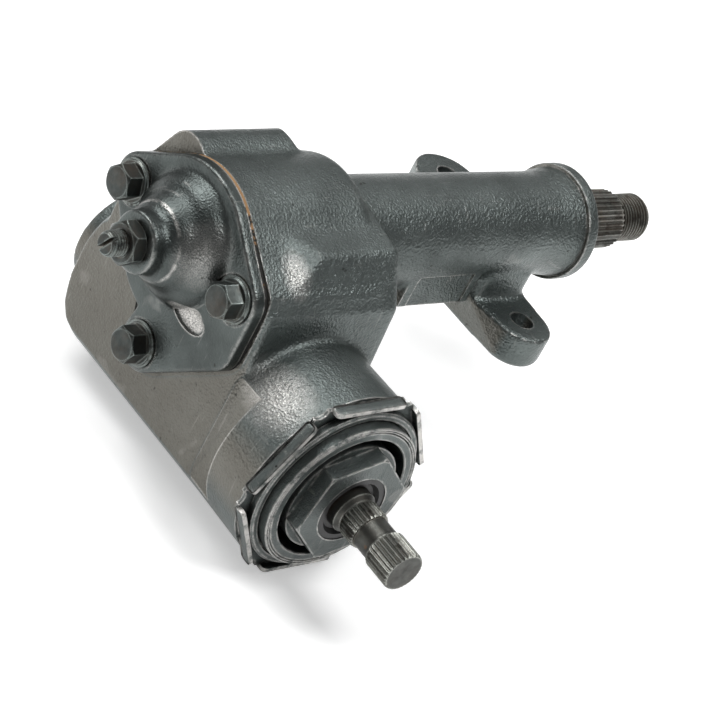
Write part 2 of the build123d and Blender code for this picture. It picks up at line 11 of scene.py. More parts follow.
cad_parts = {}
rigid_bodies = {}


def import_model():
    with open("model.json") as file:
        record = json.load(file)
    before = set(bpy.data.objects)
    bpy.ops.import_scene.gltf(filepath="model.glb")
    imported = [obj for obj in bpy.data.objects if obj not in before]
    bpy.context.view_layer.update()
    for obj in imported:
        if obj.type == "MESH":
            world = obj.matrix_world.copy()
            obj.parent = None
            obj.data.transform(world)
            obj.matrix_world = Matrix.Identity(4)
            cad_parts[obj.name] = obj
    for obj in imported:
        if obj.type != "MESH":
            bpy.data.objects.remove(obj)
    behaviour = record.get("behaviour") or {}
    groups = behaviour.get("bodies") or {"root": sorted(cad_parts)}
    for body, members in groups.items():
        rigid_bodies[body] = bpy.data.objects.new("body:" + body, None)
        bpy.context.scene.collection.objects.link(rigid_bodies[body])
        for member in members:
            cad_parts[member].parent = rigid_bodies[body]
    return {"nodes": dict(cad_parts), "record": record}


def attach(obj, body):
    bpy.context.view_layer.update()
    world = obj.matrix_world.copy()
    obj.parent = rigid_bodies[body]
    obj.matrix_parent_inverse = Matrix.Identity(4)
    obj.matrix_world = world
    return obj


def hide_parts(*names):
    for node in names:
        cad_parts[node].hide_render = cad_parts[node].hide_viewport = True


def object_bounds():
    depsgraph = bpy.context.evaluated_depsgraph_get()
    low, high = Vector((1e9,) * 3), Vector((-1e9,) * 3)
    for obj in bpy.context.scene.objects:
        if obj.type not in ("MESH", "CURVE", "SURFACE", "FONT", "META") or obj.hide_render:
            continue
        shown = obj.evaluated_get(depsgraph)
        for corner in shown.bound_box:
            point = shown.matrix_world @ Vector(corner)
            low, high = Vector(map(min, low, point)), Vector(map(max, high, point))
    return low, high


bl_info = {
    "name": "Steering Gearbox Looks",
    "version": (1, 0, 0),
    "blender": (4, 5, 0),
    "location": "3D View > Sidebar > Gearbox",
    "description": "Refined castings, threads, finishes and a studio for a steering gearbox",
    "category": "Object",
}

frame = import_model()
cad_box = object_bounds()

# Where the gear centre lies, in millimetres, and the planes and axes that the cuts need
SHAFT_X = -164.0
SHAFT_Z = 42.0
WORM_Z = -55.0
GASKET_FACE = -35.0
NECK_FACE = -93.0
TUBE_FACE = 184.6
COVER_SEAT = -36.4
COVER_FACE = -42.0
COVER_BOSS_FACE = -69.0
ADJUSTER_TIP = -84.1
PLUG_RIM_END = -104.0
PLATE_FRONT = -95.0
SHAFT_END = 238.0
EAR_UNDERSIDE = -42.0
EAR_TOP = -25.0
EAR_HOLES = ((145.0, -38.2), (183.0, 66.5))
COVER_BOLTS = ((38.8, 0.0), (-38.8, 0.0), (-3.7, -53.0))
BOLT_TURNS = (12.0, 30.0, 53.0)
FLAT_SIDE = -34.3
DENT_CENTRE = (-42.0, -21.5, -23.5)

# Radii, in millimetres
BARREL_RADIUS = 44.5
CHAMBER_RADIUS = 34.35
TUBE_RADIUS = 25.0
TUBE_WAIST = 23.2
TUBE_FLANGE_RADIUS = 26.6
BOSS_RADIUS = 13.56
ADJUSTER_CREST = 5.55
ADJUSTER_ROOT = 4.85
THREAD_CREST = 11.11
THREAD_ROOT = 9.95

# Centre, radii, fade and share of the spots painted as bright glittering metal, partly wear and partly painted
# highlight: the cover's dent, the facet, the neck, the dome
WEAR_AND_GLINT_SPOTS = ((DENT_CENTRE, (30, 9.8, 5.2), 0.14, 1.0), ((-18.7, -43.2, 14.5), (8, 14, 11), 0.7, 0.7),
                ((-31.8, -74, -23), (17, 22, 17), 0.8, 0.85), ((-50, -20, 8), (14, 14, 18), 0.9, 0.5))

# Circles (y, z, radius) round which the cover's flange runs, and the (radius, height) steps of its dome
FLANGE_CROWN = ((0.0, -3.5, 38.3), (38.8, 0.0, 12.7), (-38.8, 0.0, 12.7), (-38.8, -22.0, 12.7))
FLANGE_LEG = ((-38.8, 0.0, 12.7), (-38.8, -22.0, 12.7), (-3.7, -53.0, 12.7), (-9.0, -25.0, 13.0))
DOME_PROFILE = ((29.5, 0.0), (28.2, 1.8), (26.6, 4.8), (24.4, 7.4), (22.0, 9.3), (20.4, 11.3), (18.9, 14.0),
                (17.0, 16.6), (15.0, 18.4), (BOSS_RADIUS, 20.0))

# Name, place, size and power of each lamp, and the camera's place and directions, in metres and watts
LAMPS = (("overhead_light", (0.08, -0.55, 1.45), 0.7, 14.0), ("left_light", (-0.6, 1.05, 1.45), 1.1, 26.0),
         ("back_light", (1.2, 0.6, 1.0), 0.8, 2.5))
LAMP_AIM = (-0.07, 0, 0)
CAMERA_PLACE = (-1.1265, -0.8014, 0.7385)
CAMERA_RIGHT = (0.7196, -0.5564, 0.4155)
CAMERA_BACK = (-0.6915, -0.5196, 0.5019)
CAMERA_LENS = 170
FLOOR_GLOW = 0.45
SKY_STRENGTH = 0.17


class GearboxSizes(PropertyGroup):
    casting_voxel: FloatProperty(
        name="Casting voxel", description="Mesh size of the housing casting",
        default=0.0009, min=0.0005, max=0.003, subtype="DISTANCE", unit="LENGTH")
    cover_voxel: FloatProperty(
        name="Cover voxel", description="Mesh size of the side cover casting",
        default=0.0006, min=0.0003, max=0.002, subtype="DISTANCE", unit="LENGTH")
    blend_steps: IntProperty(
        name="Blend steps", description="How far the hollow corners of the castings are filled",
        default=26, min=0, max=200)
    soften_steps: IntProperty(
        name="Soften steps", description="How far the outer edges of the castings are rounded",
        default=4, min=0, max=30)
    casting_share: FloatProperty(
        name="Casting share", description="Share of the casting's triangles that is kept",
        default=0.36, min=0.1, max=1.0, subtype="FACTOR")
    grain_size: FloatProperty(
        name="Grain size", description="Size of the dimples in the cast skin",
        default=0.0012, min=0.0003, max=0.01, subtype="DISTANCE", unit="LENGTH")


class GearboxColours(PropertyGroup):
    paint: FloatVectorProperty(
        name="Paint", description="Silver-grey paint of the castings",
        default=(0.157, 0.181, 0.175), min=0, max=1, subtype="COLOR")
    # Colour of the painted shade in the hollows, also used for the small nicks.
    shade_and_nick_paint: FloatVectorProperty(
        name="Dark paint", description="Paint darkening the hollows as painted shade, and the nicks",
        default=(0.03, 0.03, 0.026), min=0, max=1, subtype="COLOR")
    flat_side: FloatVectorProperty(
        name="Flat side", description="Brownish paint of the housing's flat side",
        default=(0.17, 0.155, 0.13), min=0, max=1, subtype="COLOR")
    # Also painted in as bright glints, a painted highlight, on the castings' glittering spots.
    bare_metal: FloatVectorProperty(
        name="Bare metal", description="Metal where the paint is worn off, and painted glints",
        default=(0.7, 0.68, 0.65), min=0, max=1, subtype="COLOR")
    steel: FloatVectorProperty(
        name="Fastener steel", description="Dark steel of the bolts and nuts",
        default=(0.058, 0.066, 0.063), min=0, max=1, subtype="COLOR")
    shaft_steel: FloatVectorProperty(
        name="Shaft steel", description="Machined steel of the shafts",
        default=(0.08, 0.082, 0.075), min=0, max=1, subtype="COLOR")
    rust: FloatVectorProperty(
        name="Rust", description="Brown of the output shaft's thread",
        default=(0.11, 0.07, 0.045), min=0, max=1, subtype="COLOR")
    gasket: FloatVectorProperty(
        name="Gasket", description="Gasket paper",
        default=(0.42, 0.24, 0.11), min=0, max=1, subtype="COLOR")
    rubber: FloatVectorProperty(
        name="Rubber", description="Seals",
        default=(0.02, 0.02, 0.02), min=0, max=1, subtype="COLOR")
    bronze: FloatVectorProperty(
        name="Bronze", description="Shaft bushes",
        default=(0.45, 0.3, 0.14), min=0, max=1, subtype="COLOR")
    floor: FloatVectorProperty(
        name="Floor", description="Studio floor",
        default=(0.85, 0.85, 0.85), min=0, max=1, subtype="COLOR")


# Placing and selecting


def place(x, y, z):
    """A point given in millimetres from the gear centre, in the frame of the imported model."""
    return Vector((x + SHAFT_X, y, z + SHAFT_Z)) / 1000


def deselect():
    for thing in bpy.context.view_layer.objects:
        thing.select_set(False)


def activate(piece):
    deselect()
    bpy.context.view_layer.objects.active = piece
    piece.select_set(True)


def copy_node(node, name):
    """A merged copy of a CAD node, as the start of a piece."""
    piece = bpy.data.objects.new(name, frame["nodes"][node].data.copy())
    bpy.context.scene.collection.objects.link(piece)
    activate(piece)
    bpy.ops.mesh.customdata_custom_splitnormals_clear()
    bpy.ops.object.mode_set(mode="EDIT")
    bpy.ops.mesh.select_all(action="SELECT")
    bpy.ops.mesh.remove_doubles(threshold=1e-6)
    bpy.ops.object.mode_set(mode="OBJECT")
    return piece


def push_face(piece, axis, at, by):
    """Moves the vertices that lie in a plane, given in millimetres from the gear centre."""
    level = place(at, at, at)[axis]
    activate(piece)
    bpy.ops.object.mode_set(mode="EDIT")
    bpy.ops.mesh.select_mode(type="VERT")
    bpy.ops.mesh.select_all(action="DESELECT")
    bpy.ops.object.mode_set(mode="OBJECT")
    for vertex in piece.data.vertices:
        vertex.select = abs(vertex.co[axis] - level) < 2e-5
    step = Vector((0, 0, 0))
    step[axis] = by / 1000
    bpy.ops.object.mode_set(mode="EDIT")
    bpy.ops.transform.translate(value=step)
    bpy.ops.object.mode_set(mode="OBJECT")


def apply_modifier(piece, kind, **settings):
    activate(piece)
    modifier = piece.modifiers.new(kind.title(), kind)
    for key, value in settings.items():
        setattr(modifier, key, value)
    bpy.ops.object.modifier_apply(modifier=modifier.name)


def combine(piece, tool, operation):
    """Adds a closed tool to a piece or cuts it away."""
    apply_modifier(piece, "BOOLEAN", operation=operation, object=tool, solver="MANIFOLD")
    if not len(piece.data.polygons):
        raise RuntimeError(f"{piece.name} has nothing left after {operation} with {tool.name}")
    bpy.data.objects.remove(tool)


def duplicate(piece, name):
    copy = bpy.data.objects.new(name, piece.data.copy())
    bpy.context.scene.collection.objects.link(copy)
    return copy


def join(piece, *others):
    activate(piece)
    for other in others:
        other.select_set(True)
    bpy.ops.object.join()


def cast_skin(piece, voxel, blend_steps, soften_steps, share):
    """Remeshes a closed shape as a casting: hollow corners are filled and outer edges rounded."""
    apply_modifier(piece, "REMESH", mode="VOXEL", voxel_size=voxel)
    filled = duplicate(piece, "filled")
    apply_modifier(filled, "SMOOTH", factor=1.0, iterations=blend_steps)
    join(piece, filled)
    apply_modifier(piece, "REMESH", mode="VOXEL", voxel_size=voxel)
    apply_modifier(piece, "SMOOTH", factor=0.6, iterations=soften_steps)
    apply_modifier(piece, "DECIMATE", ratio=share)


def break_edges(piece, width):
    """Rounds the sharp edges of a machined piece by a width in millimetres."""
    apply_modifier(piece, "BEVEL", width=width / 1000, segments=2, limit_method="ANGLE",
                   angle_limit=radians(32), use_clamp_overlap=True)


def about(axis, centre, turn):
    """The turn, in degrees, about an axis through a centre given in millimetres."""
    middle = Matrix.Translation(place(*centre))
    return middle @ Matrix.Rotation(radians(turn), 4, Vector(axis)) @ middle.inverted()


def about_shaft(turn):
    return about((1, 0, 0), (0, 0, 0), turn)


def about_worm(turn):
    return about((0, -1, 0), (0, 0, WORM_Z), turn)


def finish_piece(piece, body, material, node=None, angle=40):
    """Shades a piece, gives it its finish and fixes it to its body."""
    activate(piece)
    bpy.ops.object.shade_smooth_by_angle(angle=radians(angle))
    piece.data.materials.clear()
    piece.data.materials.append(material)
    if node:
        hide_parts(node)
    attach(piece, body)


# Shapes, in millimetres from the gear centre


def prism(name, axis, low, high, circles, round_low=0.0, round_high=0.0, sides=72):
    """The closed hull of circles across an axis, with its two ends rounded by the given radii."""
    shape = bpy.data.objects.new(name, bpy.data.meshes.new(name))
    bpy.context.scene.collection.objects.link(shape)
    activate(shape)
    turn = ((0, pi / 2, 0), (pi / 2, 0, 0), (0, 0, 0))[axis]
    bpy.ops.object.mode_set(mode="EDIT")
    for level, inward, curve in ((low, 1, round_low), (high, -1, round_high)):
        for step in range(5 if curve else 1):
            angle = step * pi / 8
            at = level + inward * curve * (1 - sin(angle))
            for first, second, radius in circles:
                centre = [first, second]
                centre.insert(axis, at)
                bpy.ops.mesh.primitive_circle_add(vertices=sides, location=place(*centre), rotation=turn,
                                                  radius=(radius - curve * (1 - cos(angle))) / 1000)
    bpy.ops.mesh.select_all(action="SELECT")
    bpy.ops.mesh.convex_hull()
    bpy.ops.mesh.normals_make_consistent(inside=False)
    bpy.ops.object.mode_set(mode="OBJECT")
    return shape


def cone_between(name, low_radius, high_radius, start, end, sides=96):
    """A closed rod that widens or narrows between two points."""
    low = place(*start)
    high = place(*end)
    deselect()
    turn = (high - low).to_track_quat("Z", "Y").to_euler()
    bpy.ops.mesh.primitive_cone_add(vertices=sides, radius1=low_radius / 1000, radius2=high_radius / 1000,
                                    depth=(high - low).length, location=(low + high) / 2, rotation=turn)
    cone = bpy.context.object
    cone.name = name
    bpy.ops.object.transform_apply()
    return cone


def rod_between(name, radius, start, end, sides=96):
    return cone_between(name, radius, radius, start, end, sides)


def block_between(name, low, high):
    corner = place(*low)
    far = place(*high)
    deselect()
    bpy.ops.mesh.primitive_cube_add(size=1, location=(corner + far) / 2, scale=far - corner)
    block = bpy.context.object
    block.name = name
    bpy.ops.object.transform_apply()
    return block


def hexagon(name, flats, axis, start, end, turn):
    """A six-sided bar along X or Y; its first corner lies at a turn from Y or X towards Z."""
    low = place(*start)
    high = place(*end)
    along = (high - low).normalized()
    side = Vector((0, 1, 0)) if axis == 0 else Vector((1, 0, 0))
    corner = side * cos(radians(turn)) + Vector((0, 0, 1)) * sin(radians(turn))
    turned = Matrix((corner.cross(along), corner, along)).transposed().to_euler()
    deselect()
    bpy.ops.mesh.primitive_cylinder_add(vertices=6, radius=flats / 2000 / cos(pi / 6),
                                        depth=(high - low).length, location=(low + high) / 2, rotation=turned)
    bar = bpy.context.object
    bar.name = name
    bpy.ops.object.transform_apply()
    return bar


def lathe(name, axis, centre, profile, closed=False, sides=128):
    """Turns a profile of (distance along the axis, radius) points about an axis through a centre."""
    mesh = bpy.data.meshes.new(name)
    points = []
    for along, radius in profile:
        point = [0.0, 0.0, radius / 1000]
        point[axis] = along / 1000
        points.append(point)
    lines = [(k, k + 1) for k in range(len(points) - 1)]
    if closed:
        lines.append((len(points) - 1, 0))
    mesh.from_pydata(points, lines, [])
    shape = bpy.data.objects.new(name, mesh)
    bpy.context.scene.collection.objects.link(shape)
    shape.location = place(*centre)
    apply_modifier(shape, "SCREW", axis="XYZ"[axis], steps=sides, render_steps=sides, use_merge_vertices=True,
                   merge_threshold=1e-6)
    bpy.ops.object.transform_apply()
    bpy.ops.object.mode_set(mode="EDIT")
    bpy.ops.mesh.select_all(action="SELECT")
    bpy.ops.mesh.remove_doubles(threshold=1e-6)
    bpy.ops.mesh.normals_make_consistent(inside=False)
    bpy.ops.object.mode_set(mode="OBJECT")
    return shape


def smooth_line(points, parts=6):
    """Points of a smooth curve through the given ones."""
    line = []
    for k in range(len(points) - 1):
        before, start, end, after = (Vector(points[max(0, min(j, len(points) - 1))]) for j in range(k - 1, k + 3))
        for step in range(parts):
            t = step / parts
            bend = 2 * before - 5 * start + 4 * end - after
            twist = 3 * start - before - 3 * end + after
            line.append(tuple(0.5 * (2 * start + t * (end - before) + t * t * bend + t ** 3 * twist)))
    return line + [points[-1]]


def thread_profile(start, end, crest, root, pitch):
    """Profile of a screw thread between two places along an axis."""
    profile = [(start, root)]
    count = int(abs(end - start) / pitch)
    step = (end - start) / count
    for k in range(count):
        left = start + k * step
        profile += [(left + 0.1 * step, root), (left + 0.42 * step, crest), (left + 0.58 * step, crest),
                    (left + 0.9 * step, root)]
    return profile + [(end, root)]


def cut_beyond(piece, point, normal):
    """Takes away what lies beyond a plane and closes the piece again."""
    activate(piece)
    bpy.ops.object.mode_set(mode="EDIT")
    bpy.ops.mesh.select_all(action="SELECT")
    bpy.ops.mesh.bisect(plane_co=place(*point), plane_no=normal, use_fill=True, clear_outer=True)
    bpy.ops.object.mode_set(mode="OBJECT")
    return piece


# Node helpers


def put(tree, kind, inputs=None, **settings):
    """Adds a node; an input is given as a value or as the socket that feeds it."""
    made = tree.nodes.new(kind)
    for key, value in settings.items():
        setattr(made, key, value)
    for key, value in (inputs or {}).items():
        if isinstance(value, bpy.types.NodeSocket):
            tree.links.new(value, made.inputs[key])
        else:
            made.inputs[key].default_value = value
    return made


def maths(tree, operation, first, second=0.0, clamp=False):
    return put(tree, "ShaderNodeMath", {0: first, 1: second}, operation=operation, use_clamp=clamp).outputs[0]


def blend(tree, factor, first, second):
    """Mixes two colours, given as sockets or as colour values."""
    node = put(tree, "ShaderNodeMix", {0: factor}, data_type="RGBA")
    for key, value in ((6, first), (7, second)):
        if isinstance(value, bpy.types.NodeSocket):
            tree.links.new(value, node.inputs[key])
        else:
            node.inputs[key].default_value = (*value, 1)
    return node.outputs[2]


def ramp(tree, value, low, high, start=0.0, end=1.0):
    """Maps a value between two limits to another span."""
    node = put(tree, "ShaderNodeMapRange", {0: value, 1: low, 2: high, 3: start, 4: end})
    return node.outputs[0]


def noise(tree, vector, scale, detail=3.0, roughness=0.5):
    node = put(tree, "ShaderNodeTexNoise", {"Vector": vector, "Scale": scale, "Detail": detail,
                                            "Roughness": roughness})
    return node.outputs["Fac"]


def new_group(name, inputs, outputs):
    """A shader node group with named number inputs and outputs."""
    tree = bpy.data.node_groups.new(name, "ShaderNodeTree")
    for label, value in inputs.items():
        socket = tree.interface.new_socket(label, in_out="INPUT", socket_type="NodeSocketFloat")
        socket.default_value = value
    for label in outputs:
        tree.interface.new_socket(label, in_out="OUTPUT", socket_type="NodeSocketFloat")
    entry = tree.nodes.new("NodeGroupInput")
    leave = tree.nodes.new("NodeGroupOutput")
    return tree, entry, leave


def shared_group(name):
    """One of the effects that several finishes use, built when it is first asked for."""
    found = bpy.data.node_groups.get(name)
    return found or {"Cast Grain": cast_grain, "Edge Wear": edge_wear, "Hollow Shade And Nicks": hollow_shade_and_nicks,
                     "Scratches": scratches, "Turning Marks": turning_marks, "Wear And Glint Spots": wear_and_glint_spots}[name]()


def cast_grain():
    """Dimpled, slightly blistered skin of a painted sand casting."""
    tree, entry, leave = new_group("Cast Grain", {"Size": 0.0016, "Fine": 0.5}, ("Height", "Tone"))
    where = put(tree, "ShaderNodeTexCoord").outputs["Object"]
    scale = maths(tree, "DIVIDE", 1.0, entry.outputs["Size"])
    wide = noise(tree, where, maths(tree, "MULTIPLY", scale, 0.45), 2.0)
    cells = put(tree, "ShaderNodeTexVoronoi", {"Vector": where, "Scale": scale, "Smoothness": 0.7},
                feature="SMOOTH_F1").outputs["Distance"]
    fine = noise(tree, where, maths(tree, "MULTIPLY", scale, 1.6), 4.0, 0.6)
    dents = maths(tree, "MULTIPLY", cells, wide)
    height = maths(tree, "ADD", dents, maths(tree, "MULTIPLY", fine, entry.outputs["Fine"]))
    patches = noise(tree, where, 28.0, 5.0, 0.6)
    tree.links.new(height, leave.inputs["Height"])
    tree.links.new(ramp(tree, patches, 0.32, 0.68), leave.inputs["Tone"])
    return tree


def edge_wear():
    """Where an outer edge is rubbed bare."""
    tree, entry, leave = new_group("Edge Wear", {"Width": 0.0014, "Amount": 1.0}, ("Mask",))
    round_normal = put(tree, "ShaderNodeBevel", {"Radius": entry.outputs["Width"]}, samples=4).outputs[0]
    flat_normal = put(tree, "ShaderNodeNewGeometry").outputs["Normal"]
    dot = put(tree, "ShaderNodeVectorMath", {0: round_normal, 1: flat_normal}, operation="DOT_PRODUCT")
    edge = ramp(tree, dot.outputs["Value"], 0.996, 0.94)
    where = put(tree, "ShaderNodeTexCoord").outputs["Object"]
    patchy = ramp(tree, noise(tree, where, 190.0, 5.0, 0.7), 0.36, 0.54)
    mask = maths(tree, "MULTIPLY", maths(tree, "MULTIPLY", edge, patchy), entry.outputs["Amount"], clamp=True)
    tree.links.new(mask, leave.inputs["Mask"])
    return tree


def hollow_shade_and_nicks():
    """Painted shade that darkens the hollows, and a few small nicks."""
    tree, entry, leave = new_group("Hollow Shade And Nicks", {"Reach": 0.006, "Amount": 1.0}, ("Mask",))
    # The hollows are found by ambient occlusion and darkened as painted shade.
    open_sky = put(tree, "ShaderNodeAmbientOcclusion", {"Distance": entry.outputs["Reach"]}, samples=6)
    hollow = ramp(tree, open_sky.outputs["AO"], 0.85, 0.35)
    where = put(tree, "ShaderNodeTexCoord").outputs["Object"]
    patchy = ramp(tree, noise(tree, where, 120.0, 4.0, 0.6), 0.3, 0.62)
    nicks = ramp(tree, noise(tree, where, 260.0, 2.0, 0.5), 0.73, 0.76)
    mask = maths(tree, "MAXIMUM", maths(tree, "MULTIPLY", hollow, patchy), nicks)
    mask = maths(tree, "MULTIPLY", mask, entry.outputs["Amount"], clamp=True)
    tree.links.new(mask, leave.inputs["Mask"])
    return tree


def scratches():
    """Thin scratches in mixed directions."""
    tree, entry, leave = new_group("Scratches", {"Scale": 60.0, "Amount": 1.0}, ("Mask",))
    where = put(tree, "ShaderNodeTexCoord").outputs["Object"]
    total = None
    for turn, stretch in (((0.4, 0.9, 0.2), (1, 14, 1)), ((1.3, 0.2, 1.1), (12, 1, 1))):
        turned = put(tree, "ShaderNodeMapping", {"Vector": where, "Rotation": turn, "Scale": stretch})
        lines = noise(tree, turned.outputs[0], entry.outputs["Scale"], 2.0, 0.4)
        lines = ramp(tree, lines, 0.69, 0.72)
        total = lines if total is None else maths(tree, "MAXIMUM", total, lines)
    mask = maths(tree, "MULTIPLY", total, entry.outputs["Amount"], clamp=True)
    tree.links.new(mask, leave.inputs["Mask"])
    return tree


def wear_and_glint_spots():
    """Glittering spots of bright metal: partly paint rubbed thin, partly painted highlight where the light catches.
    """
    tree, entry, leave = new_group("Wear And Glint Spots", {"Amount": 1.0}, ("Mask",))
    where = put(tree, "ShaderNodeTexCoord").outputs["Object"]
    ragged = maths(tree, "MULTIPLY", noise(tree, where, 300.0), 0.25)
    grit = ramp(tree, noise(tree, where, 2200.0, 2.0), 0.38, 0.6, 0.25, 1.0)
    total = None
    for centre, radii, fade, share in WEAR_AND_GLINT_SPOTS:
        moved = put(tree, "ShaderNodeVectorMath", {0: where, 1: place(*centre)}, operation="SUBTRACT").outputs[0]
        scaled = put(tree, "ShaderNodeVectorMath", {0: moved, 1: tuple(1000 / radius for radius in radii)},
                     operation="MULTIPLY").outputs[0]
        away = put(tree, "ShaderNodeVectorMath", {0: scaled}, operation="LENGTH").outputs["Value"]
        inside = ramp(tree, maths(tree, "ADD", away, ragged), 1.12, 1.12 - fade, 0.0, share)
        total = inside if total is None else maths(tree, "MAXIMUM", total, inside)
    mask = maths(tree, "MULTIPLY", maths(tree, "MULTIPLY", total, grit), entry.outputs["Amount"], clamp=True)
    tree.links.new(mask, leave.inputs["Mask"])
    return tree


def turning_marks():
    """Fine lines left by a lathe, from the distance along the output shaft or the worm."""
    tree, entry, leave = new_group("Turning Marks", {"Along X": 1.0, "Along Y": 0.0, "Pitch": 0.0004},
                                   ("Height",))
    where = put(tree, "ShaderNodeTexCoord").outputs["Object"]
    parts = put(tree, "ShaderNodeSeparateXYZ", {0: where})
    along = maths(tree, "ADD", maths(tree, "MULTIPLY", parts.outputs[0], entry.outputs["Along X"]),
                  maths(tree, "MULTIPLY", parts.outputs[1], entry.outputs["Along Y"]))
    count = maths(tree, "DIVIDE", along, entry.outputs["Pitch"])
    line = noise(tree, put(tree, "ShaderNodeCombineXYZ", {0: count}).outputs[0], 1.0, 3.0, 0.7)
    tree.links.new(line, leave.inputs["Height"])
    return tree


def effect(tree, name, output, **inputs):
    """Places a shared effect in a material and gives the socket of one of its outputs."""
    values = {key.replace("_", " "): value for key, value in inputs.items()}
    node = put(tree, "ShaderNodeGroup", node_tree=shared_group(name))
    for key, value in values.items():
        node.inputs[key].default_value = value
    return node.outputs[output]


def new_material(name):
    material = bpy.data.materials.new(name)
    material.use_nodes = True
    return material, material.node_tree, material.node_tree.nodes["Principled BSDF"]


def set_bump(tree, shader, height, strength, distance):
    bump = put(tree, "ShaderNodeBump", {"Height": height, "Strength": strength, "Distance": distance})
    tree.links.new(bump.outputs[0], shader.inputs["Normal"])


# Finishes


def cast_paint(name, colours, size, metallic=0.85, roughness=0.32, bump=0.8, wear=0.8, hollow_shade_amount=0.7, tone=1.0,
               warm_side=False):
    """Silver-grey paint over a rough casting, warmer on the housing's flat side, with painted shade in its hollows
    and painted highlight glints on given spots.
    """
    material, tree, shader = new_material(name)
    height = effect(tree, "Cast Grain", "Height", Size=size)
    patches = effect(tree, "Cast Grain", "Tone", Size=size)
    wear_and_glints = effect(tree, "Edge Wear", "Mask", Amount=wear)
    hollow_shade = effect(tree, "Hollow Shade And Nicks", "Mask", Amount=hollow_shade_amount)
    scratched = effect(tree, "Scratches", "Mask", Amount=0.12 * wear)
    light = tuple(tone * value for value in colours.paint)
    soft = tuple(0.55 * tone * value for value in colours.paint)
    colour = blend(tree, patches, light, soft)
    if warm_side:
        facing = put(tree, "ShaderNodeSeparateXYZ", {0: put(tree, "ShaderNodeNewGeometry").outputs["True Normal"]})
        side = ramp(tree, facing.outputs[0], -0.9, -0.985, 0.0, 0.7)
        colour = blend(tree, side, colour, tuple(colours.flat_side))
    # The glittering spots join the worn edges: partly wear, partly painted highlight.
    wear_and_glints = maths(tree, "MAXIMUM", wear_and_glints, effect(tree, "Wear And Glint Spots", "Mask"))
    colour = blend(tree, maths(tree, "MAXIMUM", wear_and_glints, scratched), colour, tuple(colours.bare_metal))
    # The hollows are darkened as painted shade, and the small nicks are darkened too.
    colour = blend(tree, hollow_shade, colour, tuple(colours.shade_and_nick_paint))
    tree.links.new(colour, shader.inputs["Base Color"])
    rough = ramp(tree, patches, 0.0, 1.0, roughness - 0.05, roughness + 0.08)
    rough = maths(tree, "ADD", rough, maths(tree, "MULTIPLY", hollow_shade, 0.25))
    tree.links.new(rough, shader.inputs["Roughness"])
    shader.inputs["Metallic"].default_value = metallic
    set_bump(tree, shader, height, bump, 0.0008)
    return material


def tool_steel(name, colour, rust, metallic=0.85, roughness=0.38, rusty=0.3, marks=None):
    """Dark machined steel with a little rust, its hollows tinted as painted shade and its edges lightened as wear and
    as painted highlight.
    """
    material, tree, shader = new_material(name)
    where = put(tree, "ShaderNodeTexCoord").outputs["Object"]
    cloud = ramp(tree, noise(tree, where, 160.0, 5.0, 0.65), 0.35, 0.65)
    wear_and_glints = effect(tree, "Edge Wear", "Mask", Width=0.0011, Amount=1.6)
    hollow_shade = effect(tree, "Hollow Shade And Nicks", "Mask", Reach=0.003, Amount=0.7)
    base = blend(tree, cloud, tuple(colour), tuple(0.6 * value for value in colour))
    # Edges are lightened to bright steel, partly as wear and partly as a painted highlight along them.
    base = blend(tree, wear_and_glints, base, tuple(min(1.0, 4.5 * value) for value in colour))
    stain = maths(tree, "MULTIPLY", ramp(tree, noise(tree, where, 70.0, 6.0, 0.7), 0.45, 0.7), rusty)
    # Rust stains, plus the hollows tinted rust-brown as painted shade and the nicks.
    base = blend(tree, maths(tree, "MAXIMUM", stain, hollow_shade, clamp=True), base, tuple(rust))
    tree.links.new(base, shader.inputs["Base Color"])
    tree.links.new(ramp(tree, cloud, 0.0, 1.0, roughness - 0.06, roughness + 0.12), shader.inputs["Roughness"])
    shader.inputs["Metallic"].default_value = metallic
    fine = noise(tree, where, 1500.0, 2.0)
    if marks:
        fine = effect(tree, "Turning Marks", "Height", **marks)
    set_bump(tree, shader, fine, 0.25, 0.0002)
    return material


def gasket_paper(name, colour):
    """Gasket paper, in its colour along the top and near-black lower down."""
    material, tree, shader = new_material(name)
    where = put(tree, "ShaderNodeTexCoord").outputs["Object"]
    upward = put(tree, "ShaderNodeSeparateXYZ", {0: where}).outputs[2]
    fibre = noise(tree, where, 900.0, 4.0, 0.7)
    ragged = maths(tree, "ADD", upward, maths(tree, "MULTIPLY", noise(tree, where, 170.0, 4.0, 0.7), 0.09))
    upper_band = ramp(tree, ragged, 0.108, 0.114)
    base = blend(tree, fibre, tuple(colour), tuple(0.45 * value for value in colour))
    # Below a ragged height line the gasket is made near-black.
    base = blend(tree, upper_band, (0.012, 0.012, 0.01), base)
    tree.links.new(base, shader.inputs["Base Color"])
    shader.inputs["Roughness"].default_value = 0.85
    set_bump(tree, shader, fibre, 0.5, 0.0002)
    return material


def seal_rubber(name, colour):
    material, tree, shader = new_material(name)
    where = put(tree, "ShaderNodeTexCoord").outputs["Object"]
    dust = ramp(tree, noise(tree, where, 220.0, 5.0, 0.6), 0.45, 0.75)
    base = blend(tree, dust, tuple(colour), tuple(3.0 * value for value in colour))
    tree.links.new(base, shader.inputs["Base Color"])
    tree.links.new(ramp(tree, dust, 0.0, 1.0, 0.42, 0.7), shader.inputs["Roughness"])
    set_bump(tree, shader, noise(tree, where, 1200.0, 3.0), 0.2, 0.0001)
    return material


